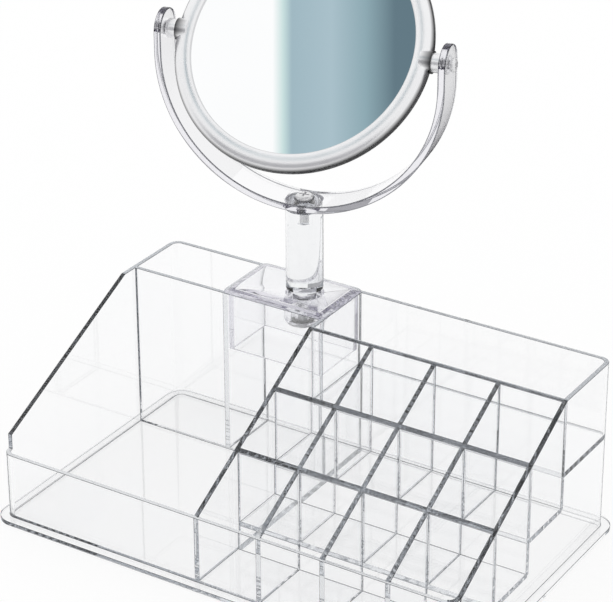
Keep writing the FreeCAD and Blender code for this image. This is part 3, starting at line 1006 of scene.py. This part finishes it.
reach, floor_height = 4.0, -0.0004
floor_finish = white_floor(own_colour=0.14, glow_level=0.88)
floor = flat_sheet("floor", reach, reach, floor_finish, floor_height)
print("floor", 2 * reach, "m wide at", floor_height, "m")

# %% [markdown]
# ## Light
# The picture has soft light from all sides. Lamps would leave their own shapes in the mirror and
# in every wall, so the whole sky is the lamp: plain white for rays that look at it, a little less
# as light.

# %% World
world = bpy.data.worlds.new("studio")
scene.world = world
world.use_nodes = True
nodes, links = world.node_tree.nodes, world.node_tree.links
background = nodes["Background"]
background.inputs["Color"].default_value = (1, 1, 1, 1)
strength = nodes.new("ShaderNodeMapRange")
strength.inputs["To Min"].default_value = 0.85
strength.inputs["To Max"].default_value = 1.0
links.new(looked_at(nodes, links), strength.inputs["Value"])
links.new(strength.outputs["Result"], background.inputs["Strength"])
print("the sky lights the scene, no lamps")

# %% [markdown]
# ## Camera
# The camera stands to the right of the front and looks down. It could be moved by hand until the
# picture fits, but its place, lens and shift come from a perspective fit to the tray's edges in
# the photograph.

# %% Camera
def placed(centre, across, up, out):
    """A place with X across, Y up and Z out of the picture."""
    return Matrix.Translation(centre) @ Matrix((across, up, out)).transposed().to_4x4()


azimuth, elevation, roll = math.radians(32.64), math.radians(24.934), math.radians(-0.37)
aim, distance = Vector((-0.08277, 0.12091, 0.044)), 1.22
flat = math.cos(elevation)
away = Vector((math.sin(azimuth) * flat, -math.cos(azimuth) * flat, math.sin(elevation)))
level = Vector((math.cos(azimuth), math.sin(azimuth), 0))
upright = away.cross(level)
picture_right = math.cos(roll) * level + math.sin(roll) * upright
picture_up = math.cos(roll) * upright - math.sin(roll) * level
lens = bpy.data.cameras.new("camera")
camera = bpy.data.objects.new("camera", lens)
scene.collection.objects.link(camera)
camera.matrix_world = placed(aim + distance * away, picture_right, picture_up, away)
lens.sensor_width = 36.0
lens.sensor_fit = "HORIZONTAL"
lens.lens = 148.21
lens.shift_x = 0.0209
lens.shift_y = -0.128
scene.camera = camera
print("camera at", [round(c, 3) for c in camera.location])

# %% [markdown]
# ## What the mirror reflects
# In the photograph the mirror shows a bright window edge and a blue-grey wall. A whole room could
# be built, but a small glowing card that hangs where the mirror looks is enough. The camera
# doesn't see the cards of this studio, and they cast no shade. Each says if it shows through
# clear plastic and in reflections.

# %% A studio card
def studio_card(name, centre, across, up, half_width, half_height, material,
                in_plastic=False, in_silver=True):
    card = flat_sheet(name, half_width, half_height, material)
    card.matrix_world = placed(centre, across, up, across.cross(up))
    card.visible_camera = False
    card.visible_diffuse = False
    card.visible_transmission = in_plastic
    card.visible_glossy = in_silver
    card.visible_shadow = False
    return card


# %% Hang the window card
def window_wall(half_width):
    """White at the left, then a soft edge, a blue-grey wall and a darker corner at the right."""
    material, nodes, links, glow = glowing("window_wall")
    place = nodes.new("ShaderNodeTexCoord")
    split = nodes.new("ShaderNodeSeparateXYZ")
    links.new(place.outputs["Object"], split.inputs[0])
    span = nodes.new("ShaderNodeMapRange")
    span.inputs["From Min"].default_value = -half_width
    span.inputs["From Max"].default_value = half_width
    links.new(split.outputs["X"], span.inputs["Value"])
    colours = nodes.new("ShaderNodeValToRGB")
    stops = [(0.0, (1.0, 1.0, 1.0)), (0.43, (1.0, 1.0, 1.0)), (0.455, (0.6, 0.76, 0.75)),
             (0.475, (0.36, 0.49, 0.55)), (0.57, (0.41, 0.54, 0.6)), (0.65, (0.28, 0.41, 0.46)),
             (0.72, (0.13, 0.2, 0.24)), (1.0, (0.12, 0.19, 0.23))]
    elements = colours.color_ramp.elements
    elements[0].position, elements[1].position = stops[0][0], stops[-1][0]
    elements[0].color, elements[1].color = (*stops[0][1], 1), (*stops[-1][1], 1)
    for position, colour in stops[1:-1]:
        elements.new(position).color = (*colour, 1)
    links.new(span.outputs["Result"], colours.inputs["Fac"])
    links.new(colours.outputs["Color"], glow.inputs["Color"])
    return material


def mirrored(direction, normal):
    """A direction as the mirror throws it back."""
    return direction - 2 * direction.dot(normal) * normal


card_distance, card_half_width = 0.9, 0.16
reflected = mirrored((pivot - camera.location).normalized(), facing)
studio_card("window_card", pivot + card_distance * reflected,
            mirrored(picture_right, facing).normalized(),
            mirrored(picture_up, facing).normalized(),
            card_half_width, card_half_width, window_wall(card_half_width))
print("the mirror looks along", [round(c, 3) for c in reflected])

# %% [markdown]
# ## What the clear plastic shows
# Clear plastic on a white ground only shows because its edges bend light from a darker room. A
# darker sky would grey the whole picture, so grey cards stand at the sides, in front and overhead
# and are seen through the plastic. All but the front one are left out of reflections, because the
# silver frame would go dark. Two more are seen only in reflections and draw the yoke's arms: a
# grey one behind, above the picture, and a dark strip along the floor.

# %% Grey cards
def grey_panel(name, level, coolness=1.04):
    material, *_, glow = glowing(name)
    glow.inputs["Color"].default_value = (level, level, level * coolness, 1)
    return material


rightward, backward, upward = Vector((1, 0, 0)), Vector((0, 1, 0)), Vector((0, 0, 1))
arm_line = Vector((0.385, 0.923, 0)).normalized()
studio_card("card_behind", Vector((0.45, 1.6, 0.55)), -rightward, upward, 0.5, 0.55,
            grey_panel("grey_behind", 0.12))
studio_card("card_on_floor", Vector((0.21, 0.85, 0.004)), arm_line.cross(upward), arm_line,
            0.1, 0.78, grey_panel("dark_under", 0.03))
room = [  # name, centre, across, up, half sizes, level, in reflections
    ("right", (1.6, 0, 0.7), -backward, upward, (2.0, 0.65), 0.4, False),
    ("left", (-1.6, 0, 0.7), backward, upward, (2.0, 0.65), 0.4, False),
    ("front", (0, -2.0, 0.7), rightward, upward, (1.6, 0.65), 0.45, True),
    ("above", (0, -0.2, 1.9), rightward, -backward, (2.0, 2.0), 0.5, False),
]
for name, centre, across, up, half_sizes, level, in_silver in room:
    studio_card("card_" + name, Vector(centre), across, up, *half_sizes,
                grey_panel("grey_" + name, level), in_plastic=True, in_silver=in_silver)
print(len(room) + 2, "grey cards stand round the organizer")

# %% [markdown]
# ## View and bounces
# Light crosses many clear walls before it reaches the camera. With Blender's usual limits it
# would be cut off in the deep cells, which would go black, so the limits are raised. The plain
# view transform shows each colour about as it is written.

# %% View and bounces
scene.view_settings.view_transform = "Standard"
scene.cycles.max_bounces = 64
scene.cycles.transmission_bounces = 64
scene.cycles.glossy_bounces = 64
scene.cycles.transparent_max_bounces = 32
print("light may bounce", scene.cycles.max_bounces, "times")
